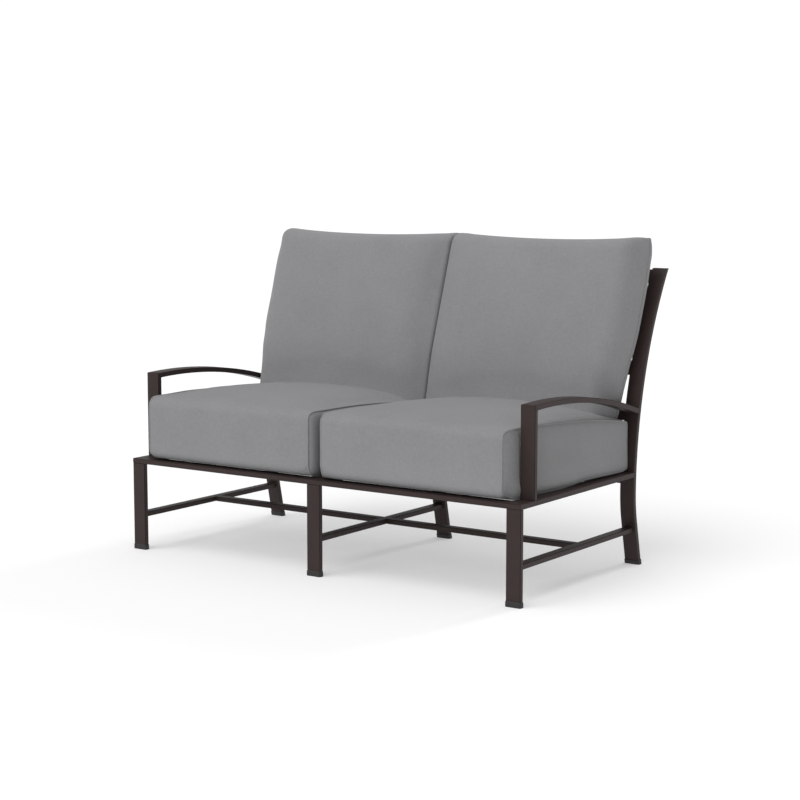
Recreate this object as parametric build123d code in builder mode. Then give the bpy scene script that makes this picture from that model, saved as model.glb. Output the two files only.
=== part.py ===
from build123d import *
from math import asin, cos, degrees, radians, sin, sqrt, tan
import os

# Patio loveseat: a welded frame of flat aluminium tube, two loose seat cushions and two
# loose back cushions. Millimetres, +Z up, the front looks along -Y, +X is the right side.
# The origin is on the floor, under the middle of the whole piece.

os.makedirs("parts", exist_ok=True)

# Overall sizes of the frame
frame_width = 1450.0
seat_height = 294.0
post_top = 907.0

# Flat tube that the legs, rails, arms and posts are cut from
tube_wide = 48.0
tube_thick = 16.0
tube_wall = 2.0
tube_corner = 1.5

# Rear post: straight foot, kick-back arc, turn, then one long arc up to the top
post_front = 663.5
post_turn_height = 230.0
kick_radius = 420.0
kick_angle = 12.5
back_radius = 1288.0
plug_thick = 3.0

# Foot caps
foot_lip = 2.0
foot_height = 16.0
foot_floor = 3.0
foot_chamfer = 1.5

# Arms
arm_setback = 73.0
arm_height = 272.0
arch_radius = 1720.0
arch_depth = 180.0

# Stretchers
stretcher_wide = 30.0
stretcher_tall = 16.0
stretcher_bottom = 104.0
cross_setback = 374.0

# Rear rail and seat slats
rear_rail_tall = 38.0
seat_slat_count = 6
seat_slat_wide = 38.0
seat_slat_thick = 5.0

# Back slats
back_slat_count = 4
back_slat_wide = 45.0
back_slat_thick = 12.0
back_slat_corner = 1.2
back_slat_wall = 1.5
lowest_slat_rise = 176.0
top_slat_drop = 26.0

# Seat cushions
cushion_gap = 0.3
seat_pad_side_gap = 0.6
seat_pad_rear_gap = 3.0
seat_pad_front_thick = 194.0
seat_pad_rear_thick = 176.0
seat_pad_crown = 20.0
seat_pad_swell = 8.0
seat_pad_front_bow = 4.0
seat_pad_rear_bow = 1.5
seat_pad_base_bow = 0.6
seat_pad_low_round = 18.0
seat_pad_top_round = 30.0
seat_pad_side_roll = 48.0
seat_pad_side_inset = 14.0

# Back cushions
back_pad_rise = 189.7
back_pad_length = 545.0
back_pad_front_half = 64.0
back_pad_rear_half = 73.0
back_pad_crown = 24.0
back_pad_rear_bow = 1.5
back_pad_side_bow = 5.0
back_pad_round = 42.0
back_pad_end_roll = 60.0
back_pad_side_inset = 8.0
back_pad_arm_gap = 1.0
back_pad_top_inset = 12.0
back_pad_arm_length = 42.0

# How quickly a back cushion widens above the arms, and how thin its ends are against its middle
back_pad_flare_share = 3.0
back_pad_tip_share = 0.3

# Rolled cushion ends, from the tip inwards: how far along the roll, and how much is still drawn in
roll_shares = {0.0: 1.0, 0.06: 0.66, 0.2: 0.4, 0.5: 0.13, 1.0: 0.0}
middle_cuts = 4

# One overrun for everything that is made long and then cut back
overrun = 60.0

# Places worked out from the sizes above
half_width = frame_width / 2
rail_bottom = seat_height - tube_thick
leg_x = half_width - tube_wide / 2
post_mid = post_front + tube_thick / 2
stretcher_middle = stretcher_bottom + stretcher_tall / 2
rear_radius = back_radius - tube_thick / 2
post_rear_at_top = (post_front + tube_thick + rear_radius
                    - sqrt(rear_radius**2 - (post_top - post_turn_height)**2))
overall_depth = foot_lip + post_rear_at_top
front_y = foot_lip - overall_depth / 2
sides = {"left": -1, "right": 1}
leg_places = {"left": -leg_x, "middle": 0.0, "right": leg_x}
arch_top = seat_height + arm_height
lowest_slat_height = seat_height + lowest_slat_rise
back_slat_pitch = (post_top - top_slat_drop - lowest_slat_height) / (back_slat_count - 1)


def behind(distance):
    """The row's y at a distance behind the front face of the seat frame."""
    return front_y + distance


def keep(piece, label):
    piece.part.label = label
    export_step(piece.part, f"parts/{label}.step")
    print(label, round(piece.part.volume / 1000, 1), "cm3")


def cut_corners(wide, thick, corner, turn=0.0):
    """A rectangle with its corners cut off, as the flat tube's outside."""
    quarter = [(wide / 2, thick / 2 - corner), (wide / 2 - corner, thick / 2)]
    half = quarter + [(-x, y) for x, y in reversed(quarter)]
    Polygon(*half, *[(-x, -y) for x, y in half], rotation=turn)


def tube_profile(wide, thick, corner=tube_corner, wall=tube_wall, turn=0.0):
    cut_corners(wide, thick, corner, turn)
    Rectangle(wide - 2 * wall, thick - 2 * wall, rotation=turn, mode=Mode.SUBTRACT)


def post_lean(height):
    return degrees(asin((height - post_turn_height) / back_radius))


def post_centre(height):
    return post_mid + back_radius - sqrt(back_radius**2 - (height - post_turn_height)**2)


def post_path(x):
    """Centre line of a rear post, from below the floor to above its top."""
    rise = degrees(asin((post_top + overrun - post_turn_height) / back_radius))
    with BuildLine(Plane.YZ.offset(x)) as path:
        turn = (behind(post_mid), post_turn_height)
        kick = JernArc(start=turn, tangent=(0, -1), radius=kick_radius, arc_size=kick_angle)
        drop = post_turn_height - kick_radius * sin(radians(kick_angle)) + overrun
        PolarLine(kick @ 1, drop / cos(radians(kick_angle)), direction=kick % 1)
        JernArc(start=turn, tangent=(0, 1), radius=back_radius, arc_size=-rise)
    return path.wire()


def behind_posts():
    """Everything behind the front faces of the rear posts, to cut what butts against them."""
    front_radius = back_radius + tube_thick / 2
    rise = degrees(asin((post_top + overrun - post_turn_height) / front_radius))
    drop = post_turn_height - kick_radius * sin(radians(kick_angle)) + overrun
    with BuildPart() as region:
        with BuildSketch(Plane.YZ):
            with BuildLine():
                turn = (behind(post_front), post_turn_height)
                kick = JernArc(turn, (0, -1), kick_radius + tube_thick / 2, kick_angle)
                foot = PolarLine(kick @ 1, drop / cos(radians(kick_angle)), direction=kick % 1)
                back = JernArc(turn, (0, 1), front_radius, -rise)
                Polyline(foot @ 1, (overall_depth, (foot @ 1).Y), (overall_depth, (back @ 1).Y), back @ 1)
            make_face()
        extrude(amount=half_width, both=True)
    return region.part


post_region = behind_posts()

# Front legs: straight, flush with the front and the sides of the seat frame
for place, x in leg_places.items():
    with BuildPart() as front_leg:
        with BuildSketch(Plane.XY.offset(foot_floor)):
            with Locations((x, behind(tube_thick / 2))):
                tube_profile(tube_wide, tube_thick)
        extrude(amount=rail_bottom - foot_floor)
    keep(front_leg, f"front_leg_{place}")

# Rear posts: one bent tube each, from the foot to the top of the back, closed by a plug
for place, x in leg_places.items():
    path = post_path(x)
    start = Plane(origin=path @ 0, x_dir=(1, 0, 0), z_dir=path % 0)
    with BuildPart() as rear_post:
        with BuildSketch(start):
            tube_profile(tube_wide, tube_thick)
        sweep(path=path)
        split(bisect_by=Plane.XY.offset(foot_floor), keep=Keep.TOP)
        split(bisect_by=Plane.XY.offset(post_top), keep=Keep.BOTTOM)
    keep(rear_post, f"rear_post_{place}")

    with BuildPart() as post_plug:
        with BuildSketch(start):
            Rectangle(tube_wide - 2 * tube_wall, tube_thick - 2 * tube_wall)
        sweep(path=path)
        split(bisect_by=Plane.XY.offset(post_top - plug_thick), keep=Keep.TOP)
        split(bisect_by=Plane.XY.offset(post_top), keep=Keep.BOTTOM)
    keep(post_plug, f"post_plug_{place}")

# Foot caps: a cup over each leg end, its floor under the tube
cap_wide = tube_wide + 2 * foot_lip
cap_thick = tube_thick + 2 * foot_lip
for place, x in leg_places.items():
    with BuildPart() as front_foot:
        with BuildSketch():
            with Locations((x, behind(tube_thick / 2))):
                cut_corners(cap_wide, cap_thick, tube_corner + foot_lip)
        extrude(amount=foot_height)
        chamfer(front_foot.faces().sort_by(Axis.Z)[-1].edges(), foot_chamfer)
        with BuildSketch(Plane.XY.offset(foot_floor)):
            with Locations((x, behind(tube_thick / 2))):
                cut_corners(tube_wide, tube_thick, tube_corner)
        extrude(amount=foot_height, mode=Mode.SUBTRACT)
    keep(front_foot, f"front_foot_{place}")

for place, x in leg_places.items():
    path = post_path(x)
    end = 0 if (path @ 0).Z < (path @ 1).Z else 1
    along = (path % end) * (1 if end == 0 else -1)
    under = Plane(origin=path @ end, x_dir=(1, 0, 0), z_dir=along)
    foot_reach = -(path @ end).Z / along.Z + foot_height
    with BuildPart() as leg_end:
        with BuildSketch(under):
            cut_corners(tube_wide, tube_thick, tube_corner)
        extrude(amount=foot_reach + foot_height)
        split(bisect_by=Plane.XY.offset(foot_floor), keep=Keep.TOP)
    with BuildPart() as rear_foot:
        with BuildSketch(under):
            cut_corners(cap_wide, cap_thick, tube_corner + foot_lip)
        extrude(amount=foot_reach)
        chamfer(rear_foot.faces().sort_by(Axis.Z)[-1].edges(), foot_chamfer)
        split(bisect_by=Plane.XY, keep=Keep.TOP)
        add(leg_end.part, mode=Mode.SUBTRACT)
    keep(rear_foot, f"rear_foot_{place}")

# Seat border: the front rail and the side rails lie flat and are mitred at the front corners
mitres = {place: Plane(origin=(sign * half_width, front_y, 0), x_dir=(0, 0, 1), z_dir=(sign, 1, 0))
          for place, sign in sides.items()}
rail_middle = seat_height - tube_thick / 2
rail_run = post_front + overrun

with BuildPart() as front_rail:
    with BuildSketch(Plane.YZ.offset(-half_width)):
        with Locations((behind(tube_wide / 2), rail_middle)):
            tube_profile(tube_wide, tube_thick)
    extrude(amount=frame_width)
    for mitre in mitres.values():
        split(bisect_by=mitre, keep=Keep.BOTTOM)
keep(front_rail, "front_rail")

for place, x in leg_places.items():
    start = 0 if place in sides else tube_wide
    with BuildPart() as seat_rail:
        with BuildSketch(Plane.XZ.offset(-behind(start))):
            with Locations((x, rail_middle)):
                tube_profile(tube_wide, tube_thick)
        extrude(amount=-rail_run)
        if place in mitres:
            split(bisect_by=mitres[place], keep=Keep.TOP)
        add(post_region, mode=Mode.SUBTRACT)
    keep(seat_rail, f"seat_rail_{place}")

# What spans a bay: from the middle member to the inner face of the outer one
bay_start = tube_wide / 2
bay_end = half_width - tube_wide
bays = {"left": -bay_end, "right": bay_start}
bay_run = bay_end - bay_start

for side, x in bays.items():
    with BuildPart() as rear_rail:
        height = seat_height - rear_rail_tall / 2
        with BuildSketch(Plane.YZ.offset(x)):
            with Locations((behind(post_centre(height)), height)):
                tube_profile(tube_thick, rear_rail_tall)
        extrude(amount=bay_run)
    keep(rear_rail, f"rear_rail_{side}")

# Seat slats: flat bars across each bay, flush with the top of the border
slat_pitch = (post_front - tube_wide) / seat_slat_count
for side, x in bays.items():
    for number in range(seat_slat_count):
        with BuildPart() as seat_slat:
            with BuildSketch(Plane.YZ.offset(x)):
                with Locations((behind(tube_wide + slat_pitch * (number + 1 / 2)), seat_height - seat_slat_thick / 2)):
                    Rectangle(seat_slat_wide, seat_slat_thick)
            extrude(amount=bay_run)
        keep(seat_slat, f"seat_slat_{side}_{number + 1}")

# Back slats: flat tubes between the posts, each leaning as the posts lean at its height
for side, x in bays.items():
    for number in range(back_slat_count):
        height = lowest_slat_height + number * back_slat_pitch
        with BuildPart() as back_slat:
            with BuildSketch(Plane.YZ.offset(x)):
                with Locations((behind(post_centre(height)), height)):
                    tube_profile(back_slat_wide, back_slat_thick, back_slat_corner, back_slat_wall,
                                 turn=90 - post_lean(height))
            extrude(amount=bay_run)
        keep(back_slat, f"back_slat_{side}_{number + 1}")

# Stretchers: one from each front leg to its rear leg, and a cross stretcher in two halves
for place, x in leg_places.items():
    with BuildPart() as stretcher:
        with BuildSketch(Plane.XZ.offset(-behind(tube_thick))):
            with Locations((x, stretcher_middle)):
                tube_profile(stretcher_wide, stretcher_tall)
        extrude(amount=-rail_run)
        add(post_region, mode=Mode.SUBTRACT)
    keep(stretcher, f"stretcher_{place}")

cross_start = stretcher_wide / 2
cross_run = leg_x - stretcher_wide
for side, x in {"left": -cross_start - cross_run, "right": cross_start}.items():
    with BuildPart() as cross_stretcher:
        with BuildSketch(Plane.YZ.offset(x)):
            with Locations((behind(cross_setback), stretcher_middle)):
                tube_profile(stretcher_wide, stretcher_tall)
        extrude(amount=cross_run)
    keep(cross_stretcher, f"cross_stretcher_{side}")


def arch_height(distance, radius):
    return arch_top - arch_radius + sqrt(radius**2 - (distance - arch_depth)**2)


# Arms: a flat upright mitred into an arched flat tube that butts against the rear post
corner_height = arch_height(arm_setback, arch_radius)
inner_height = arch_height(arm_setback + tube_thick, arch_radius - tube_thick)
arm_centre_radius = arch_radius - tube_thick / 2
front_turn = degrees(asin((arch_depth - arm_setback + overrun) / arm_centre_radius))
rear_turn = degrees(asin((rail_run - arch_depth) / arm_centre_radius))
for side, sign in sides.items():
    x = sign * leg_x
    mitre = Plane(origin=(x, behind(arm_setback), corner_height), x_dir=(1, 0, 0),
                  z_dir=(0, corner_height - inner_height, tube_thick))
    with BuildPart() as arm_post:
        with BuildSketch(Plane.XY.offset(seat_height)):
            with Locations((x, behind(arm_setback + tube_thick / 2))):
                tube_profile(tube_wide, tube_thick)
        extrude(amount=arch_top - seat_height)
        split(bisect_by=mitre, keep=Keep.BOTTOM)
    keep(arm_post, f"arm_post_{side}")

    with BuildLine(Plane.YZ.offset(x)) as arch:
        CenterArc((behind(arch_depth), arch_top - arch_radius), arm_centre_radius,
                  90 + front_turn, -front_turn - rear_turn)
    arch_path = arch.wire()
    with BuildPart() as arm:
        with BuildSketch(Plane(origin=arch_path @ 0, x_dir=(1, 0, 0), z_dir=arch_path % 0)):
            tube_profile(tube_wide, tube_thick)
        sweep(path=arch_path)
        split(bisect_by=mitre, keep=Keep.TOP)
        add(post_region, mode=Mode.SUBTRACT)
    keep(arm, f"arm_{side}")


def swell(place, span, most):
    """A bulge that is full in the middle of a span and gone at its ends."""
    return most * (1 - (2 * place / span - 1)**2)


def pad_section(plane, corners, bows, rounds):
    """One section of a cushion: four bowed edges, each starting at its corner, and rounded corners."""
    with BuildSketch(plane) as section:
        with BuildLine():
            for start, end, bow in zip(corners, corners[1:] + corners[:1], bows):
                run = Vector(*end) - Vector(*start)
                outward = Vector(run.Y, -run.X).normalized()
                ThreePointArc(start, Vector(*start) + run / 2 + outward * bow, end)
        make_face()
        for corner, size in zip(corners, rounds):
            fillet(section.vertices().sort_by_distance(Vector(*corner))[0], size)
    return section.sketch.faces()[0]


def pad_loft(span, roll, section):
    """A cushion along its loft: a rolled end, an evenly cut middle and the other rolled end."""
    ends = [(step * roll, share) for step, share in roll_shares.items()]
    middle = [roll + (span - 2 * roll) * number / middle_cuts for number in range(1, middle_cuts)]
    stations = ends + [(place, 0) for place in middle] + [(span - place, share) for place, share in reversed(ends)]
    loft([section(place, share) for place, share in stations], ruled=True)


def seat_section(length, share):
    """A seat cushion cut across its width, drawn in by a share of the side inset."""
    inset = share * seat_pad_side_inset
    front = behind(seat_pad_front_bow + inset / 2)
    rear = behind(post_front - seat_pad_rear_gap - inset / 2)
    base = seat_height + cushion_gap + seat_pad_base_bow + inset / 2
    corners = [(front, base), (rear, base), (rear, seat_height + seat_pad_rear_thick - inset),
               (front, seat_height + seat_pad_front_thick - inset)]
    bows = [seat_pad_base_bow, seat_pad_rear_bow, seat_pad_crown + swell(length, seat_pad_span, seat_pad_swell),
            seat_pad_front_bow]
    rounds = [seat_pad_low_round, seat_pad_low_round, seat_pad_top_round, seat_pad_top_round]
    return pad_section(Plane.YZ.offset(cushion_gap + length), corners, bows, rounds)


# Seat cushions: one over each bay, between the middle of the seat and the arm post
seat_pad_span = bay_end - seat_pad_side_gap - cushion_gap
with BuildPart() as seat_cushion:
    pad_loft(seat_pad_span, seat_pad_side_roll, seat_section)
with BuildPart() as seat_cushion_left:
    mirror(seat_cushion.part, about=Plane.YZ)
keep(seat_cushion, "seat_cushion_right")
keep(seat_cushion_left, "seat_cushion_left")

# Back cushions: each leans on the second slat of its bay and stands on its seat cushion
support_height = lowest_slat_height + back_slat_pitch
lean = radians(post_lean(support_height))
back_pad_base = seat_height + back_pad_rise
rest = cushion_gap + back_pad_rear_bow + back_slat_thick / 2 + back_pad_rear_half
base_y = behind(post_centre(support_height)) - rest * cos(lean)
base_y += (back_pad_base - support_height - rest * sin(lean)) * tan(lean)


def back_section(length, share):
    """A back cushion cut square to its lean, thinner and narrower by a share towards its ends."""
    plane = Plane(origin=(0, base_y + length * sin(lean), back_pad_base + length * cos(lean)),
                  x_dir=(1, 0, 0), z_dir=(0, sin(lean), cos(lean)))
    full = 1 - share * (1 - back_pad_tip_share)
    rise = max(0, length - back_pad_arm_length) / (back_pad_length - back_pad_arm_length)
    low_reach = bay_end - back_pad_arm_gap
    top_reach = half_width - back_pad_top_inset
    reach = top_reach - (top_reach - low_reach) * (1 - rise)**back_pad_flare_share
    inner = cushion_gap + back_pad_side_bow + share * back_pad_side_inset
    outer = reach - back_pad_side_bow - share * back_pad_side_inset
    front = -back_pad_front_half * full
    rear = back_pad_rear_half * full
    crown = back_pad_rear_bow + swell(length, back_pad_length, back_pad_crown)
    return pad_section(plane, [(inner, front), (outer, front), (outer, rear), (inner, rear)],
                       [crown * full, back_pad_side_bow, back_pad_rear_bow * full, back_pad_side_bow],
                       [back_pad_round * full] * 4)


with BuildPart() as back_cushion:
    pad_loft(back_pad_length, back_pad_end_roll, back_section)
with BuildPart() as back_cushion_left:
    mirror(back_cushion.part, about=Plane.YZ)
keep(back_cushion, "back_cushion_right")
keep(back_cushion_left, "back_cushion_left")
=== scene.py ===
import math

import bpy
import numpy as np
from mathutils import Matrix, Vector
from mathutils.kdtree import KDTree


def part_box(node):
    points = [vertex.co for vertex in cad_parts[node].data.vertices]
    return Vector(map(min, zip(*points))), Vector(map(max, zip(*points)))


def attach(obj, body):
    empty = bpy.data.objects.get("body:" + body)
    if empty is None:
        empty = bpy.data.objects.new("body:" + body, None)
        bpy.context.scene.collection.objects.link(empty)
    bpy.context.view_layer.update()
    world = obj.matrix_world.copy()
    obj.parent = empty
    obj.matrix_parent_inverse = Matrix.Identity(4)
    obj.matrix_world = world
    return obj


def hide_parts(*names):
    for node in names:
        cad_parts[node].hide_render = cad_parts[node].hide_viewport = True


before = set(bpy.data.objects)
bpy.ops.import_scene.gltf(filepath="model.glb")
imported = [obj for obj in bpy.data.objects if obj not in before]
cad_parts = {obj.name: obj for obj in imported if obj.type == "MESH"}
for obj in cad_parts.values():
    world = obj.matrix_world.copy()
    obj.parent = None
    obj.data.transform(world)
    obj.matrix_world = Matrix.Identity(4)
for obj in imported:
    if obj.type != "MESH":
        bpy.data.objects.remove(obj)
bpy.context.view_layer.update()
scene = bpy.context.scene


def pickOnly(piece):
    # operators act on everything selected, so one piece is picked at a time
    if bpy.context.object and bpy.context.object.mode != "OBJECT":
        bpy.ops.object.mode_set(mode="OBJECT")
    bpy.ops.object.select_all(action="DESELECT")
    piece.select_set(True)
    bpy.context.view_layer.objects.active = piece


def pickNothing():
    pickOnly(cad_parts["front_rail"])
    bpy.ops.object.select_all(action="DESELECT")


def pickEdges(piece, chosen):
    # leaves the piece in edit mode, with these edges picked and no others
    bpy.ops.object.mode_set(mode="EDIT")
    bpy.ops.mesh.select_mode(type="EDGE")
    bpy.ops.mesh.select_all(action="DESELECT")
    bpy.ops.object.mode_set(mode="OBJECT")
    piece.data.edges.foreach_set("select", chosen)
    bpy.ops.object.mode_set(mode="EDIT")


def readPoints(piece):
    points = np.zeros(len(piece.data.vertices) * 3)
    piece.data.vertices.foreach_get("co", points)
    return points.reshape(-1, 3)


def writePoints(piece, points):
    piece.data.vertices.foreach_set("co", np.asarray(points, np.float32).ravel())
    piece.data.update()


def readEdges(piece):
    ends = np.zeros(len(piece.data.edges) * 2, int)
    piece.data.edges.foreach_get("vertices", ends)
    return ends.reshape(-1, 2)


def readPanels(piece):
    # the cloth's flat layout, in metres, for each corner of each face
    uv = np.zeros(len(piece.data.loops) * 2)
    piece.data.uv_layers["panels"].data.foreach_get("uv", uv)
    return uv.reshape(-1, 2)


def writePanels(piece, uv):
    piece.data.uv_layers["panels"].data.foreach_set("uv", uv.ravel())


def facesOutward(piece):
    pickOnly(piece)
    bpy.ops.object.mode_set(mode="EDIT")
    bpy.ops.mesh.select_all(action="SELECT")
    bpy.ops.mesh.normals_make_consistent(inside=False)
    bpy.ops.object.mode_set(mode="OBJECT")


def giveMaterial(piece, material):
    piece.data.materials.clear()
    piece.data.materials.append(material)


def softStep(value, low, high):
    t = np.clip((value - low) / (high - low), 0, 1)
    return t * t * (3 - 2 * t)


def follow(value, line):
    # a line is a list of (place, amount) pairs: this reads the amount at each value
    return np.interp(value, *zip(*line))


def closerAtEnds(value, curved, straight):
    # from -1 to 1 as before, with the rows between them drawn towards the two ends
    return curved * np.sin(value * np.pi / 2) + straight * value


# Finishes. Each one is made of nodes, with its numbers in its own dictionary.

def newFinish(name):
    material = bpy.data.materials.new(name)
    material.use_nodes = True
    tree = material.node_tree
    shader = tree.nodes["Principled BSDF"]
    return material, tree, shader


def addNode(tree, kind, **settings):
    node = tree.nodes.new(kind)
    for key, value in settings.items():
        setattr(node, key, value)
    return node


def setInputs(node, values):
    for name, value in values.items():
        node.inputs[name].default_value = value


def objectPlace(tree):
    return addNode(tree, "ShaderNodeTexCoord").outputs["Object"]


def addNoise(tree, vector, scale, detail, roughness=0.5):
    noise = addNode(tree, "ShaderNodeTexNoise")
    setInputs(noise, {"Scale": scale, "Detail": detail, "Roughness": roughness})
    tree.links.new(vector, noise.inputs["Vector"])
    return noise.outputs["Fac"]


def addWave(tree, vector, direction):
    # bands as far apart as the threads
    wave = addNode(tree, "ShaderNodeTexWave", wave_type="BANDS",
                   bands_direction=direction, wave_profile="SIN")
    wave.inputs["Scale"].default_value = canvas["oneWave"] / canvas["threadPitch"]
    tree.links.new(vector, wave.inputs["Vector"])
    return wave


def addRange(tree, value, low, high):
    node = addNode(tree, "ShaderNodeMapRange")
    setInputs(node, {"To Min": low, "To Max": high})
    tree.links.new(value, node.inputs["Value"])
    return node.outputs["Result"]


def addMath(tree, operation, first, second):
    node = addNode(tree, "ShaderNodeMath", operation=operation)
    for place, value in enumerate((first, second)):
        if isinstance(value, (int, float)):
            node.inputs[place].default_value = value
        else:
            tree.links.new(value, node.inputs[place])
    return node.outputs["Value"]


def addShares(tree, *parts):
    # patterns laid over each other: each part is a pattern and its share
    total = None
    for pattern, share in parts:
        part = addMath(tree, "MULTIPLY", pattern, share)
        total = part if total is None else addMath(tree, "ADD", total, part)
    return total


def addNoises(tree, vector, *layers):
    # each layer is a noise's scale, detail and share
    return addShares(tree, *((addNoise(tree, vector, scale, detail), share)
                             for scale, detail, share in layers))


def addTint(tree, factor, dark, light):
    node = addNode(tree, "ShaderNodeMix", data_type="RGBA")
    node.inputs[6].default_value = (*dark, 1)
    node.inputs[7].default_value = (*light, 1)
    tree.links.new(factor, node.inputs[0])
    return node.outputs[2]


def addBump(tree, height, strength, distance, below=None):
    node = addNode(tree, "ShaderNodeBump")
    setInputs(node, {"Strength": strength, "Distance": distance})
    tree.links.new(height, node.inputs["Height"])
    if below is not None:
        tree.links.new(below, node.inputs["Normal"])
    return node.outputs["Normal"]


def stretched(tree, vector, scale):
    node = addNode(tree, "ShaderNodeMapping")
    node.inputs["Scale"].default_value = scale
    tree.links.new(vector, node.inputs["Vector"])
    return node.outputs["Vector"]


def feedShader(tree, shader, color, roughness, normal):
    tree.links.new(color, shader.inputs["Base Color"])
    tree.links.new(roughness, shader.inputs["Roughness"])
    tree.links.new(normal, shader.inputs["Normal"])


powderCoat = {
    "dark": (0.0318, 0.0212, 0.0200),
    "light": (0.0445, 0.0308, 0.0292),
    "clouds": ((9, 4, 0.7), (260, 2, 0.3)),        # each layer's scale, detail and share
    "contrast": (-0.4, 1.4),        # the pattern's ends, where 0 is dark and 1 is light
    "roughness": (0.36, 0.46),
    "peel": ((900, 1, 1), (3200, 1, 0.35)),        # orange peel, a little over a millimetre across
    "bump": (0.22, 0.0002),
    "surface": {"Specular IOR Level": 0.16},
}


def makePowderCoat():
    material, tree, shader = newFinish("espressoPowderCoat")
    place = objectPlace(tree)
    clouds = addNoises(tree, place, *powderCoat["clouds"])
    tone = addRange(tree, clouds, *powderCoat["contrast"])
    peel = addNoises(tree, place, *powderCoat["peel"])
    feedShader(tree, shader,
               addTint(tree, tone, powderCoat["dark"], powderCoat["light"]),
               addRange(tree, clouds, *powderCoat["roughness"]),
               addBump(tree, peel, *powderCoat["bump"]))
    setInputs(shader, powderCoat["surface"])
    return material


mouldedPlastic = {
    "dark": (0.014, 0.012, 0.012),
    "light": (0.022, 0.019, 0.018),
    "cloud": (40, 3),               # scale and detail
    "roughness": (0.49, 0.63),
    "grain": (1500, 2),
    "bump": (0.15, 0.0001),
}


def makeMouldedPlastic():
    material, tree, shader = newFinish("darkMouldedPlastic")
    place = objectPlace(tree)
    cloud = addNoise(tree, place, *mouldedPlastic["cloud"])
    grain = addNoise(tree, place, *mouldedPlastic["grain"])
    feedShader(tree, shader,
               addTint(tree, cloud, mouldedPlastic["dark"], mouldedPlastic["light"]),
               addRange(tree, cloud, *mouldedPlastic["roughness"]),
               addBump(tree, grain, *mouldedPlastic["bump"]))
    return material


canvas = {
    "dark": (0.188, 0.188, 0.194),
    "light": (0.288, 0.288, 0.295),
    "contrast": (-0.33, 1.45),
    "threadPitch": 0.0013,
    "oneWave": 0.31416,             # how long a wave is in a wave texture of scale 1
    "waviness": {"Distortion": 0.6, "Detail": 1.0, "Detail Scale": 0.3},
    "slubLength": 0.035,
    "slubWidth": 0.0022,
    "slubDetail": 2,
    "broad": (7, 3),                # scale and detail
    "flecks": (150, 3, 0.6),        # scale, detail and roughness
    "shares": {"broad": 0.2, "flecks": 0.35, "weave": 0.3, "slubs": 0.3},
    "roughness": (0.97, 0.84),      # between the threads, and on top of them
    "surface": {"Specular IOR Level": 0.25, "Sheen Weight": 0.12, "Sheen Roughness": 0.5},
    "slubBump": (0.25, 0.0006),
    "weaveBump": (0.5, 0.0004),
}


def makeCanvas():
    material, tree, shader = newFinish("greyWovenCanvas")
    place = objectPlace(tree)
    flat = addNode(tree, "ShaderNodeUVMap", uv_map="panels").outputs["UV"]
    # threads over and under each other: two sets of waves multiplied
    waves = [addWave(tree, flat, direction) for direction in ("X", "Y")]
    for wave in waves:
        setInputs(wave, canvas["waviness"])
    weave = addMath(tree, "MULTIPLY", *(wave.outputs["Fac"] for wave in waves))
    # slubs: thicker and lighter stretches of thread both ways
    long, thin = 1 / canvas["slubLength"], 1 / canvas["slubWidth"]
    across = addNoise(tree, stretched(tree, flat, (long, thin, 1)), 1, canvas["slubDetail"])
    along = addNoise(tree, stretched(tree, flat, (thin, long, 1)), 1, canvas["slubDetail"])
    slubs = addShares(tree, (across, 0.5), (along, 0.5))
    shares = canvas["shares"]
    pattern = addShares(tree,
                        (addNoise(tree, place, *canvas["broad"]), shares["broad"]),
                        (addNoise(tree, place, *canvas["flecks"]), shares["flecks"]),
                        (weave, shares["weave"]),
                        (slubs, shares["slubs"]))
    tone = addRange(tree, pattern, *canvas["contrast"])
    feedShader(tree, shader,
               addTint(tree, tone, canvas["dark"], canvas["light"]),
               addRange(tree, weave, *canvas["roughness"]),
               addBump(tree, weave, *canvas["weaveBump"], addBump(tree, slubs, *canvas["slubBump"])))
    setInputs(shader, canvas["surface"])
    return material


weltCanvas = {
    "twistShare": 0.3,
    "cloudShare": 0.7,
    "cloud": (120, 3),              # scale and detail
    "bump": (0.4, 0.0003),
}


def makeWeltCanvas():
    # the same cloth cut on the bias round the seam, patterned by its place
    material, tree, shader = newFinish("greyWeltCanvas")
    place = objectPlace(tree)
    twist = addWave(tree, place, "DIAGONAL").outputs["Fac"]
    cloud = addNoise(tree, place, *weltCanvas["cloud"])
    tone = addShares(tree, (twist, weltCanvas["twistShare"]), (cloud, weltCanvas["cloudShare"]))
    feedShader(tree, shader,
               addTint(tree, tone, canvas["dark"], canvas["light"]),
               addRange(tree, cloud, *canvas["roughness"]),
               addBump(tree, twist, *weltCanvas["bump"]))
    setInputs(shader, canvas["surface"])
    return material


powderCoatFinish = makePowderCoat()
plasticFinish = makeMouldedPlastic()
canvasFinish = makeCanvas()
weltFinish = makeWeltCanvas()

softEdge = {"weldGap": 0.00002, "width": 0.0011, "rings": 2, "sharperThan": 38}


def softenEdges(node):
    # drawn tube and bar have slightly rounded edges that catch the light
    joined = node.modifiers.new("joined", "WELD")
    joined.merge_threshold = softEdge["weldGap"]
    edge = node.modifiers.new("softEdge", "BEVEL")
    edge.width = softEdge["width"]
    edge.segments = softEdge["rings"]
    edge.limit_method = "ANGLE"
    edge.angle_limit = math.radians(softEdge["sharperThan"])
    edge.use_clamp_overlap = True
    edge.harden_normals = True


for name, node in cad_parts.items():
    if "cushion" in name:
        continue
    isPlastic = "foot" in name or "plug" in name
    giveMaterial(node, plasticFinish if isPlastic else powderCoatFinish)
    softenEdges(node)
print("finishes on the frame")


# Filling: what the covers of all four cushions have in common.

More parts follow.
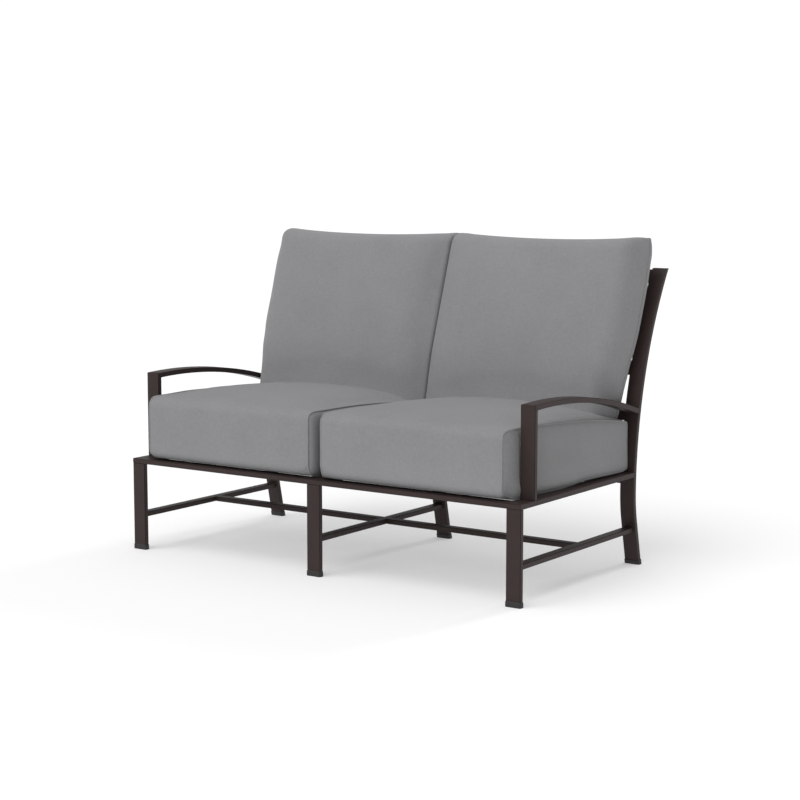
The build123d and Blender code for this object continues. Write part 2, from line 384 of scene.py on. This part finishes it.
filling = {
    "cloth": {
        "quality": 5,
        "mass": 0.25,
        "tension_stiffness": 20,
        "compression_stiffness": 20,
        "shear_stiffness": 8,
        "bending_stiffness": 0.8,
        "use_pressure": True,
        "uniform_pressure_force": 3.5,
        "shrink_max": 0.02,         # how much the seam draws the cloth in
    },
    "frames": 20,
    "mostMove": 0.006,              # m
    "atSeam": 0.25,                 # the share of its move that a seam keeps
    "seamReach": 0.07,              # from this far off, m, the cloth moves freely
    "restReach": 0.09,              # and from this high above what it rests on
}


def holdSteady(piece, start, seamGroup, under):
    # sewn edges and whatever rests on something below hardly move when the cover is filled
    group = piece.vertex_groups[seamGroup].index
    sewn = [v.index for v in piece.data.vertices if any(g.group == group for g in v.groups)]
    tree = KDTree(len(sewn))
    for i in sewn:
        tree.insert(start[i], i)
    tree.balance()
    far = np.array([tree.find(place)[2] for place in start])
    atSeam = filling["atSeam"]
    offSeam = atSeam + (1 - atSeam) * softStep(far, 0, filling["seamReach"])
    return offSeam * softStep(start[:, 2] - under, 0, filling["restReach"])


def puffUp(piece, seamGroup, under, keepOff=None, free=1):
    # the cover is filled: cloth under pressure with no weight, and no point moves further
    # than mostMove
    start = readPoints(piece)
    pickOnly(piece)
    cloth = piece.modifiers.new("filling", "CLOTH")
    for key, value in filling["cloth"].items():
        setattr(cloth.settings, key, value)
    cloth.settings.effector_weights.gravity = 0
    cloth.settings.vertex_group_shrink = seamGroup
    cloth.collision_settings.use_collision = False
    cloth.point_cache.frame_start = 1
    cloth.point_cache.frame_end = filling["frames"]
    for step in range(1, filling["frames"] + 1):
        scene.frame_set(step)
    bpy.ops.object.modifier_apply(modifier=cloth.name)
    scene.frame_set(1)
    move = readPoints(piece) - start
    far = np.linalg.norm(move, axis=1, keepdims=True)
    mostMove = filling["mostMove"]
    move *= np.tanh(far / mostMove) * mostMove / np.maximum(far, 1e-9)
    move *= (holdSteady(piece, start, seamGroup, under) * free)[:, None]
    place = start + move
    if keepOff:
        keepOff(place)
    writePoints(piece, place)
    print("filled", piece.name, "- largest move", round(float(far.max()) * 1000, 1), "mm")


def seamGroupOf(piece, keep):
    # the edges that a maker sews, as a vertex group for the cloth
    group = piece.vertex_groups.new(name="seam")
    group.add([int(i) for i in np.nonzero(keep)[0]], 1.0, "REPLACE")
    return group.name


def roundCorner(nearFace, nearEnd, radius):
    # a square corner of a section becomes round: both values are distances in from the two faces
    p = np.clip(1 - nearFace / radius[0], 0, 1)
    q = np.clip(1 - nearEnd / radius[1], 0, 1)
    inside = (p > 0) & (q > 0)
    length = np.sqrt(p * p + q * q) + 1e-9
    share = np.where(inside, np.maximum(p, q) / length, 1)
    newFace = np.where(inside, radius[0] * (1 - p * share), nearFace)
    newEnd = np.where(inside, radius[1] * (1 - q * share), nearEnd)
    return newFace, newEnd


# Seat cushions: a wrapped main panel, with a sewn-in panel at each side.
# Lengths are in mm, depth counts from the cushion's front, and a list of pairs is a line.

seatCushion = {
    "cuts": (78, 76, 22),           # rows of cloth across, deep and high
    "rowSpacing": (0.6, 0.4),
    "panels": ((0.66, 0.19), (0.67, 0.19), (0.67, 0.66)),      # side, front and top panel, m
    "depth": 661,
    "base": 294.6,                  # on the seat slats
    "middle": 338.0, "halfWidth": 322,
    "frontTop": 488.0, "rearTop": 489.0,
    "topArch": 20, "archPower": 2.3,
    "sideTop": 494.0, "sideDrop": 45, "sideDropStart": 90, "sideDropPower": 2.2,
    "innerSeam": [(0, 25), (80, 15.5), (661, 15)],
    "outerSeam": [(0, 657), (40, 663), (90, 665), (125, 668), (200, 679),
                  (320, 689), (480, 696), (600, 701), (661, 701)],
    "innerSwell": [(0, 23.5), (80, 14.7), (661, 14.2)],
    "outerSwell": [(0, 9), (60, 9), (125, 7), (220, 10), (480, 9), (661, 6)],
    "swellHeight": 60,              # the swell grows over this height from each seam
    "innerSwellEnds": (76, 34),     # and over this depth from the front and from the rear
    "outerSwellEnds": (70, 70),
    "swellPower": 9,
    "frontBow": 6, "bowPowers": (6, 5),
    "frontTopRound": (34, 25), "rearTopRound": (9, 7),
    "lowRound": (23, 23), "rearLowRound": (26, 20),
    "lessAtEnds": (0.45, 8),        # the low front edge is less round towards its two ends
    "frontLift": (0.19, 45),        # it stands up off the rail: slope, and where it meets the rail
    "innerLowCorner": (60, 26),     # at its ends it stands higher: over what width, and how high
    "outerLowCorner": (40, 12),
    "cornerRound": 0.995,
    "cornerDepth": (2, 14),         # that height is lost between these depths
    "sagBehindRail": 4,             # the cloth hangs a little between the rail and the first slat
    "sagPlace": (49, 56, 71, 78),
    "sideLift": [(0, 15), (20, 15), (44, 0), (290, 0), (330, 3),
                 (400, 9), (440, 9), (560, 6), (661, 5)],      # off the side rail, by depth
    "sideLiftPlace": (311, 321),    # it starts and is full this far from the middle
    "besidePost": [(28, 0), (45, 7), (70, 9), (118, 8), (150, 0)],
    "besidePostHigh": [(0, 1), (30, 1), (60, 0)],      # low down it fills the space beside the post
    "lowSpread": 9,                 # and further back it spreads over the side rail
    "spreadHigh": [(0, 0.15), (13, 1), (24, 0.9), (60, 0.35), (90, 0)],
    "spreadDeep": [(150, 1), (240, 0.9), (360, 0.55), (480, 0.3), (661, 0.1)],
    "spreadStart": (123, 150),
    "spreadPower": 14,
    "fill": 0.75,
}


def boxOfCloth(name, cuts, spacing):
    # a box primitive of one unit each way, with its sides cut into rows and its panels laid flat
    pickNothing()
    bpy.ops.mesh.primitive_cube_add(size=1, location=(0.5, 0.5, 0.5))
    piece = bpy.context.object
    piece.name = piece.data.name = name
    bpy.ops.object.transform_apply(location=True, rotation=True, scale=True)
    for axis, count in enumerate(cuts):
        bpy.ops.object.mode_set(mode="OBJECT")
        points, ends = readPoints(piece), readEdges(piece)
        run = points[ends[:, 1]] - points[ends[:, 0]]
        pickEdges(piece, np.abs(run[:, axis]) > 0.9 * np.linalg.norm(run, axis=1))
        bpy.ops.mesh.subdivide(number_cuts=count)
    bpy.ops.object.mode_set(mode="OBJECT")
    points = readPoints(piece)
    points[:, 0] = 0.5 + 0.5 * closerAtEnds(points[:, 0] * 2 - 1, *spacing)
    writePoints(piece, points)
    bpy.ops.object.mode_set(mode="EDIT")
    bpy.ops.mesh.select_all(action="SELECT")
    bpy.ops.uv.cube_project(cube_size=1.0, correct_aspect=False)
    bpy.ops.object.mode_set(mode="OBJECT")
    piece.data.uv_layers[0].name = "panels"
    return piece


def frontFace():
    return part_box("seat_cushion_right")[0][1]


def lowLift(a, y):
    # how far the underside stands off what it rests on
    s = seatCushion
    slope, meeting = s["frontLift"]
    lift = np.maximum(slope * (meeting - y), 0)
    corner = np.where(a < 0, s["innerLowCorner"][0], s["outerLowCorner"][0])
    cornerHigh = np.where(a < 0, s["innerLowCorner"][1], s["outerLowCorner"][1])
    into = np.clip(1 - (1 - np.abs(a)) * s["halfWidth"] / corner, 0, 1)
    rise = 1 - np.sqrt(1 - into ** 2 * s["cornerRound"])
    lift += cornerHigh * rise * (1 - softStep(y, *s["cornerDepth"]))
    atSide = softStep(a * s["halfWidth"], *s["sideLiftPlace"])
    lift = np.maximum(lift, follow(y, s["sideLift"]) * atSide)
    start, deep, rising, done = s["sagPlace"]
    return lift - s["sagBehindRail"] * softStep(y, start, deep) * (1 - softStep(y, rising, done))


def roundSection(a, c, y, z, low, top):
    # the four corners of the section from front to rear
    s = seatCushion
    upper = c >= 0.5
    frontHalf, rearHalf = y < s["depth"] / 2, y > s["depth"] / 2
    nearFront, nearTop = roundCorner(y, top - z, s["frontTopRound"])
    y1, z1 = np.where(upper, nearFront, y), np.where(upper, top - nearTop, z)
    nearRear, nearTop = roundCorner(s["depth"] - y1, top - z1, s["rearTopRound"])
    use = upper & rearHalf
    y1, z1 = np.where(use, s["depth"] - nearRear, y1), np.where(use, top - nearTop, z1)
    less, power = s["lessAtEnds"]
    atEnds = 1 - less * np.abs(a) ** power
    lowRound = (s["lowRound"][0] * atEnds, s["lowRound"][1] * atEnds)
    nearFront, nearLow = roundCorner(y, z - low, lowRound)
    use = ~upper & frontHalf
    y1, z1 = np.where(use, nearFront, y1), np.where(use, low + nearLow, z1)
    nearRear, nearLow = roundCorner(s["depth"] - y, z - s["base"], s["rearLowRound"])
    use = ~upper & rearHalf
    return np.where(use, s["depth"] - nearRear, y1), np.where(use, s["base"] + nearLow, z1)


def swellOut(a, c, y, top):
    # the side panels swell out between their seams
    s = seatCushion
    edge = np.minimum(np.minimum(c, 1 - c) * (top - s["base"]) / s["swellHeight"], 1)
    frontEnd = np.where(a < 0, s["innerSwellEnds"][0], s["outerSwellEnds"][0])
    rearEnd = np.where(a < 0, s["innerSwellEnds"][1], s["outerSwellEnds"][1])
    end = np.minimum(np.minimum(y / frontEnd, (s["depth"] - y) / rearEnd), 1)
    return np.sqrt(1 - (1 - edge) ** 2) * np.sqrt(1 - (1 - end) ** 2)


def lowSides(a, y, high):
    # low down at the arm's side: beside the arm's post, and over the rail behind it
    s = seatCushion
    outer = np.clip(a, 0, 1)
    spread = s["lowSpread"] * follow(high, s["spreadHigh"]) * outer ** s["spreadPower"]
    spread *= softStep(y, *s["spreadStart"]) * follow(y, s["spreadDeep"])
    besidePost = follow(y, s["besidePost"]) * follow(high, s["besidePostHigh"])
    return spread, besidePost * outer ** s["swellPower"]


def shapeSeat(piece):
    s = seatCushion
    points = readPoints(piece)
    a = points[:, 0] * 2 - 1          # -1 at the inner side, 1 at the arm
    y = points[:, 1] * s["depth"]
    c = points[:, 2]                  # 0 at the bottom, 1 at the top
    share = y / s["depth"]
    arch = s["topArch"] * (1 - (2 * share - 1) ** 2)
    middleTop = s["frontTop"] + (s["rearTop"] - s["frontTop"]) * share + arch
    towardsRear = np.clip((y - s["sideDropStart"]) / (s["depth"] - s["sideDropStart"]), 0, 1)
    sideTop = s["sideTop"] - s["sideDrop"] * towardsRear ** s["sideDropPower"]
    across = 1 - np.abs(a) ** s["archPower"]
    top = sideTop + (np.maximum(middleTop, sideTop) - sideTop) * across
    low = s["base"] + lowLift(a, y) * (1 - softStep(c, 0.5, 1))
    y1, z1 = roundSection(a, c, y, low + c * (top - low), low, top)
    # the front is drawn back at its side seams
    alongPower, acrossPower = s["bowPowers"]
    y1 += (1 - share) ** alongPower * s["frontBow"] * np.abs(a) ** acrossPower
    swell = swellOut(a, c, y, top)
    atSides = np.abs(a) ** s["swellPower"]
    outer = (follow(y, s["outerSeam"]) - s["middle"]) * a
    outer = outer + follow(y, s["outerSwell"]) * swell * atSides
    inner = (s["middle"] - follow(y, s["innerSeam"])) * a
    inner = inner - follow(y, s["innerSwell"]) * swell * atSides
    spread, besidePost = lowSides(a, y, z1 - s["base"])
    x1 = s["middle"] + np.where(a > 0, outer, inner) + spread + besidePost
    writePoints(piece, np.stack([x1 / 1000, y1 / 1000 + frontFace(), z1 / 1000], 1))


def makeSeatCushion():
    s = seatCushion
    piece = boxOfCloth("seat_pad_right", s["cuts"], s["rowSpacing"])
    # each face's four corners get the real size of the panel that it is on
    normals = np.zeros(len(piece.data.polygons) * 3)
    piece.data.polygons.foreach_get("normal", normals)
    axis = np.abs(normals.reshape(-1, 3)).argmax(1)
    sizes = np.array(s["panels"])
    writePanels(piece, readPanels(piece) * np.repeat(sizes[axis], 4, axis=0))
    onFace = np.abs(readPoints(piece) - 0.5) > 0.4999
    seam = seamGroupOf(piece, onFace[:, 0] & (onFace[:, 1] | onFace[:, 2]))
    shapeSeat(piece)
    facesOutward(piece)
    puffUp(piece, seam, s["base"] / 1000)
    return piece


# Back cushions: two panels sewn together all round.
# Lengths are in mm, and a list of pairs is a line: up the cushion in mm, or by height in m.

backCushion = {
    "cuts": (72, 62),
    "rowSpacing": (0.85, 0.15),
    "panel": (0.71, 0.56),          # m
    "foot": (607.0, 483.9),         # the middle plane's foot: y behind the seat's front face, and z
    "lean": 17.3,
    "height": 550, "topDip": 12,
    "seamBack": 25,                 # the seam lies this far behind the middle plane
    "innerReach": [(0, -1), (300, 2), (500, 4), (551, 7)],
    "outerReach": [(0, 669), (43, 676), (83, 682), (119, 688), (163, 692), (200, 698),
                   (250, 703), (325, 706), (410, 708), (500, 706), (551, 699)],
    "footCorner": 6, "topCorner": (20, 6),
    "frontDepth": 93, "frontCrown": 7,
    "rearDepth": 46.5, "rearCrown": 1.5,
    "fullerHigh": 0.25,
    "innerRoll": [(0, 14), (551, 18)],
    "outerRoll": [(0, 58), (470, 56), (551, 30)],
    "footRoll": 4, "topRoll": 46,
    "boxy": 2.2,                    # how square the sides are
    "innerEase": (0.34, 130, 1.9),  # the front slopes back to the other one: share, width, power
    "tuck": 13,                     # how far the foot tucks into the seat,
    "tuckBehind": (0.8, 1),         # which the rear panel does only near the arm
    "footHalf": 115,                # half the foot's thickness, for its round underside
    "sag": 150,                     # it settles on the seat cushion over this height
    "seatRoom": 0.4,
    "seatEdges": (0.012, 0.010, 0.012),    # m, the seat's height is read this far in from its edges
    "seatEnd": 0.002,               # m, and nothing rests on the last of it
    "armRoom": 1.6,                 # how far it keeps off the arm that dents it
    "armDent": (10, 60, 60),        # the dent ends between these heights off the arm, and its depth
    "meeting": [(0.48, 11), (0.76, 14), (0.96, 16), (1.01, 19)],   # where the two press flat together
    "meetingRoom": 0.3,
    "stillBeside": (0.001, 0.045),  # m, the cloth gets free between these distances from there
    "aside": 4,                     # both back cushions sit this far to the right of the middle
    # the left one isn't quite a mirror copy: its two sides lie further right by this much
    "leftInner": [(0.48, 14.3), (0.76, 20.3), (0.96, 24.3), (1.01, 30.3)],
    "leftOuter": [(0.55, -13.5), (0.62, -12), (0.68, -8), (0.74, -1), (0.80, 2.5),
                  (0.86, 3.5), (0.92, 5), (0.97, 9), (1.0, 11)],
    "leftWidth": 0.7,               # m
    "fill": 0.7,
}


def heightOver(piece, x, y):
    # the top of a finished cushion under each point, taken from its own surface
    points = readPoints(piece)
    low, high = points.min(0), points.max(0)
    side, front, rear = backCushion["seatEdges"]
    x = np.clip(x, low[0] + side, high[0] - side)
    y = np.clip(y, low[1] + front, high[1] - rear)
    found = []
    for place in zip(x, y):
        hit, top = piece.ray_cast((*place, 2), (0, 0, -1))[:2]
        found.append(top.z if hit else low[2])
    return np.array(found)


def armLine():
    # how high the middle of the right arm is at each depth, from its own corners
    points = readPoints(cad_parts["arm_right"])
    levels = np.unique(np.round(points[:, 1], 3))
    near = 0.012
    middle = [points[np.abs(points[:, 1] - level) < near][:, 2] for level in levels]
    return levels, np.array([(m.max() + m.min()) / 2 for m in middle])


def meetingPlane(height):
    return follow(height, backCushion["meeting"])


def keepClear(place):
    # the cushion stays over the seat, inside the arm that dents its side, and on its own side
    # of the plane where the two back cushions press together
    s = backCushion
    onSeat = heightOver(seatRight, place[:, 0], place[:, 1]) + s["seatRoom"] / 1000
    overSeat = place[:, 1] < np.max(readPoints(seatRight)[:, 1]) - s["seatEnd"]
    place[:, 2] = np.where((place[:, 2] < onSeat) & overSeat, onSeat, place[:, 2])
    levels, middles = armLine()
    off = np.abs(place[:, 2] - np.interp(place[:, 1], levels, middles)) * 1000
    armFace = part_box("arm_right")[0][0] * 1000
    start, end, deep = s["armDent"]
    most = armFace - s["armRoom"] + deep * softStep(off, start, end)
    least = meetingPlane(place[:, 2]) + s["meetingRoom"]
    place[:, 0] = np.maximum(np.minimum(place[:, 0], most / 1000), least / 1000)


def roundOutline(x, along, reachIn, reachOut, span):
    # the four corners of the cushion's outline
    s = backCushion
    for side in (0, 1):
        for end in (0, 1):
            radius = s["footCorner"] if end == 0 else s["topCorner"][side]
            nearSide = (x - reachIn) if side == 0 else (reachOut - x)
            nearEnd = along if end == 0 else (span - along)
            newSide, newEnd = roundCorner(nearSide, nearEnd, (radius, radius))
            x = (reachIn + newSide) if side == 0 else (reachOut - newSide)
            along = newEnd if end == 0 else (span - newEnd)
    return x, along


def leant(along, depth):
    # from the cushion's own leaning plane to y behind the seat's front face, and z
    lean = math.radians(backCushion["lean"])
    y = backCushion["foot"][0] + along * math.sin(lean) + depth * math.cos(lean)
    z = backCushion["foot"][1] + along * math.cos(lean) - depth * math.sin(lean)
    return y, z


def shapeBack(piece, isFront):
    s = backCushion
    points = readPoints(piece)
    a = closerAtEnds(points[:, 0], *s["rowSpacing"])      # -1 at the middle, 1 at the arm
    b = closerAtEnds(points[:, 1], *s["rowSpacing"])      # -1 at the foot, 1 at the top
    span = s["height"] - s["topDip"] * (1 - a * a)
    along = span * (b + 1) / 2
    reachIn, reachOut = follow(along, s["innerReach"]), follow(along, s["outerReach"])
    x = reachIn + (reachOut - reachIn) * (a + 1) / 2
    x, along = roundOutline(x, along, reachIn, reachOut, span)
    # how full it is: none at the seam, all of it where the cushion is thick
    fromSide = (1 - np.abs(a)) * (reachOut - reachIn) / 2
    fromEnd = (1 - np.abs(b)) * span / 2
    sideRoll = np.where(a < 0, follow(along, s["innerRoll"]), follow(along, s["outerRoll"]))
    endRoll = np.where(b < 0, s["footRoll"], s["topRoll"])
    roll = (1 - (1 - np.clip(fromSide / sideRoll, 0, 1)) ** s["boxy"]) ** (1 / s["boxy"])
    roll *= (1 - (1 - np.clip(fromEnd / endRoll, 0, 1)) ** 2) ** 0.5
    far, wide, power = s["innerEase"]
    roll *= 1 - np.where(a < 0, far * np.clip(1 - fromSide / wide, 0, 1) ** power, 0)
    bulge = (1 - a * a) * (1 - b * b) * (1 + s["fullerHigh"] * b)
    if isFront:
        depth = s["seamBack"] - (s["frontDepth"] * roll + s["frontCrown"] * bulge)
    else:
        depth = s["seamBack"] + s["rearDepth"] * roll + s["rearCrown"] * bulge
    y, z = leant(along, depth)
    # the foot settles on the seat cushion: it comes down as far as the seat lets it
    behind = (depth - s["seamBack"]) / s["footHalf"]
    under = s["footRoll"] * (1 - np.sqrt(np.clip(1 - behind ** 2, 0, 1)))
    underY, underZ = leant(under, depth)
    seatZ = heightOver(seatRight, x / 1000, underY / 1000 + frontFace()) * 1000
    tuck = s["tuck"] * (1 if isFront else softStep(a, *s["tuckBehind"]))
    gap = underZ - seatZ - s["seatRoom"] + tuck
    z -= gap * (1 - softStep(along, 0, s["sag"]))
    place = np.stack([(x + s["aside"]) / 1000, y / 1000 + frontFace(), z / 1000], 1)
    keepClear(place)
    writePoints(piece, place)


def makeBackPanel(isFront):
    pickNothing()
    across, up = backCushion["cuts"]
    bpy.ops.mesh.primitive_grid_add(x_subdivisions=across, y_subdivisions=up, size=2)
    panel = bpy.context.object
    panel.data.uv_layers[0].name = "panels"
    # laid flat, the rear panel is a metre above the front one
    writePanels(panel, readPanels(panel) * backCushion["panel"] + (0, 0 if isFront else 1))
    shapeBack(panel, isFront)
    return panel


def rimOfPanels(piece):
    # the seam is where the two panels met: the edges of the flat layout
    tiny = 1e-5
    size = np.array(backCushion["panel"])
    uv = readPanels(piece)
    isRear = uv[:, 1] > (size[1] + 1) / 2
    uv[:, 1] = np.where(isRear, uv[:, 1] - 1, uv[:, 1])
    corner = np.zeros(len(piece.data.loops), int)
    piece.data.loops.foreach_get("vertex_index", corner)
    onRim = np.zeros(len(piece.data.vertices), bool)
    onRim[corner[((uv < tiny) | (uv > size - tiny)).any(1)]] = True
    return onRim


def makeBackCushion():
    front, rear = makeBackPanel(True), makeBackPanel(False)
    pickOnly(front)
    rear.select_set(True)
    bpy.ops.object.join()
    piece = bpy.context.object
    piece.name = piece.data.name = "back_pad_right"
    bpy.ops.object.mode_set(mode="EDIT")
    bpy.ops.mesh.select_all(action="SELECT")
    bpy.ops.mesh.remove_doubles(threshold=0.0002, use_sharp_edge_from_normals=False)
    bpy.ops.object.mode_set(mode="OBJECT")
    facesOutward(piece)
    seam = seamGroupOf(piece, rimOfPanels(piece))
    place = readPoints(piece)
    seatZ = heightOver(seatRight, place[:, 0], place[:, 1])
    offMeeting = place[:, 0] - meetingPlane(place[:, 2]) / 1000
    puffUp(piece, seam, seatZ, keepClear, softStep(offMeeting, *backCushion["stillBeside"]))
    return piece


def mirrorOf(piece, name, aside=0):
    # the left-hand one is a copy with its own mesh, turned over and with its faces put right again
    pickOnly(piece)
    bpy.ops.object.duplicate()
    copy = bpy.context.object
    copy.name = copy.data.name = name
    points = readPoints(copy)
    points[:, 0] = 2 * aside / 1000 - points[:, 0]
    writePoints(copy, points)
    bpy.ops.object.mode_set(mode="EDIT")
    bpy.ops.mesh.select_all(action="SELECT")
    bpy.ops.mesh.flip_normals()
    bpy.ops.object.mode_set(mode="OBJECT")
    return copy


def fitLeft(piece):
    # the left back cushion is pushed over to meet the right one, and settles on its own seat
    s = backCushion
    points = readPoints(piece)
    share = np.clip((s["aside"] / 1000 - points[:, 0]) / s["leftWidth"], 0, 1)
    seatBefore = heightOver(seatRight, 2 * s["aside"] / 1000 - points[:, 0], points[:, 1])
    inner, outer = follow(points[:, 2], s["leftInner"]), follow(points[:, 2], s["leftOuter"])
    points[:, 0] += (inner * (1 - share) + outer * share) / 1000
    most = (meetingPlane(points[:, 2]) - s["meetingRoom"]) / 1000
    points[:, 0] = np.minimum(points[:, 0], most)
    seatAfter = heightOver(seatRight, np.abs(points[:, 0]), points[:, 1])
    settled = 1 - softStep(points[:, 2] - seatBefore, 0, s["sag"] / 1000)
    points[:, 2] += (seatAfter - seatBefore) * settled
    writePoints(piece, points)


welt = {"radius": 0.0028, "resolution": 2, "sewnFrom": 0.95}      # sewnFrom: a point's weight


def sewWelt(piece, name):
    # the seam stands up as a thin welt: the seam's own edges, given a round section
    pickOnly(piece)
    group = piece.vertex_groups["seam"].index
    onSeam = np.array([any(g.group == group and g.weight > welt["sewnFrom"] for g in v.groups)
                       for v in piece.data.vertices])
    ends = readEdges(piece)
    pickEdges(piece, onSeam[ends[:, 0]] & onSeam[ends[:, 1]])
    bpy.ops.mesh.duplicate()
    bpy.ops.mesh.separate(type="SELECTED")
    bpy.ops.object.mode_set(mode="OBJECT")
    line = [o for o in bpy.context.selected_objects if o != piece][0]
    pickOnly(line)
    line.modifiers.clear()
    bpy.ops.object.convert(target="CURVE")
    line = bpy.context.object
    line.data.bevel_depth = welt["radius"]
    line.data.bevel_resolution = welt["resolution"]
    bpy.ops.object.convert(target="MESH")
    line = bpy.context.object
    line.name = line.data.name = name
    facesOutward(line)
    pickOnly(line)
    bpy.ops.object.shade_smooth()
    giveMaterial(line, weltFinish)
    return line


def finishCushion(piece, node):
    # node is the solid that it stands for, and its body has the same name
    pickOnly(piece)
    finer = piece.modifiers.new("finer", "SUBSURF")
    finer.levels = finer.render_levels = 1
    bpy.ops.object.modifier_apply(modifier=finer.name)
    bpy.ops.object.shade_smooth()
    giveMaterial(piece, canvasFinish)
    line = sewWelt(piece, piece.name.replace("pad", "welt"))
    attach(line, node)
    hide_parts(node)
    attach(piece, node)


seatRight = makeSeatCushion()
seatLeft = mirrorOf(seatRight, "seat_pad_left")
backRight = makeBackCushion()
backLeft = mirrorOf(backRight, "back_pad_left", backCushion["aside"])
fitLeft(backLeft)
finishCushion(seatRight, "seat_cushion_right")
finishCushion(seatLeft, "seat_cushion_left")
finishCushion(backRight, "back_cushion_right")
finishCushion(backLeft, "back_cushion_left")
print("cushions made")


# Stage, lights and camera

stage = {
    "floor": (0.62, 0.62, 0.62),
    "floorSize": 200,
    "floorDarker": 0.995,           # faint clouds on the floor, this dark
    "floorCloud": (3, 2),           # scale and detail
    "floorSurface": {"Roughness": 0.8, "Specular IOR Level": 0.2,
                     "Emission Color": (1, 1, 1, 1), "Emission Strength": 0.37},
    "airFrom": (-0.24, -0.42, 0.87),
    "airDim": 0.18, "airBright": 0.74,
    "airSeen": 1.05,
    "suns": (
        # name, direction towards the light, strength, how wide it looks in degrees, seen in shine
        ("keySun", (-0.18, -0.53, 0.83), 1.42, 50, True),
        ("backSun", (0.12, 0.86, 0.50), 0.72, 11, False),      # no glare on the tube tops
    ),
}


def makeFloor():
    pickNothing()
    bpy.ops.mesh.primitive_plane_add(size=stage["floorSize"], location=(0, 0, 0))
    floor = bpy.context.object
    floor.name = "studio_floor"
    material, tree, shader = newFinish("paleStudioFloor")
    cloud = addNoise(tree, objectPlace(tree), *stage["floorCloud"])
    darker = [stage["floorDarker"] * c for c in stage["floor"]]
    tree.links.new(addTint(tree, cloud, darker, stage["floor"]), shader.inputs["Base Color"])
    setInputs(shader, stage["floorSurface"])
    giveMaterial(floor, material)


def makeAir():
    # the air lights the object softly, from one side more than the other, and is seen as white
    world = bpy.data.worlds.new("studioAir")
    scene.world = world
    world.use_nodes = True
    tree = world.node_tree
    glow = tree.nodes["Background"]
    glow.inputs["Color"].default_value = (1, 1, 1, 1)
    side = addNode(tree, "ShaderNodeVectorMath", operation="DOT_PRODUCT")
    around = addNode(tree, "ShaderNodeTexCoord").outputs["Generated"]
    tree.links.new(around, side.inputs[0])
    side.inputs[1].default_value = Vector(stage["airFrom"]).normalized()
    # from -1 to 1 round the sky becomes 0 to 1
    half = addMath(tree, "MULTIPLY", side.outputs["Value"], 0.5)
    facing = addMath(tree, "ADD", half, 0.5)
    strength = addRange(tree, facing, stage["airDim"], stage["airBright"])
    seen = addNode(tree, "ShaderNodeLightPath").outputs["Is Camera Ray"]
    white = addMath(tree, "MULTIPLY", seen, stage["airSeen"])
    tree.links.new(addMath(tree, "MAXIMUM", strength, white), glow.inputs["Strength"])


def makeSuns():
    for name, towards, strength, width, inShine in stage["suns"]:
        sun = bpy.data.objects.new(name, bpy.data.lights.new(name, "SUN"))
        sun.data.energy = strength
        sun.data.angle = math.radians(width)
        sun.visible_glossy = inShine
        sun.rotation_euler = (-Vector(towards)).to_track_quat("-Z", "Y").to_euler()
        scene.collection.objects.link(sun)


view = {
    "place": (3.4053, -4.8614, 1.2456),
    "turn": (82.727, 0.0, 34.905),
    "lens": 85.28,
    "sensor": 36,
}


def makeCamera():
    camera = bpy.data.objects.new("camera", bpy.data.cameras.new("camera"))
    camera.data.lens = view["lens"]
    camera.data.sensor_width = view["sensor"]
    camera.location = view["place"]
    camera.rotation_euler = [math.radians(d) for d in view["turn"]]
    scene.collection.objects.link(camera)
    scene.camera = camera


makeFloor()
makeAir()
makeSuns()
makeCamera()
scene.view_settings.view_transform = "Standard"
print("stage, lights and camera")
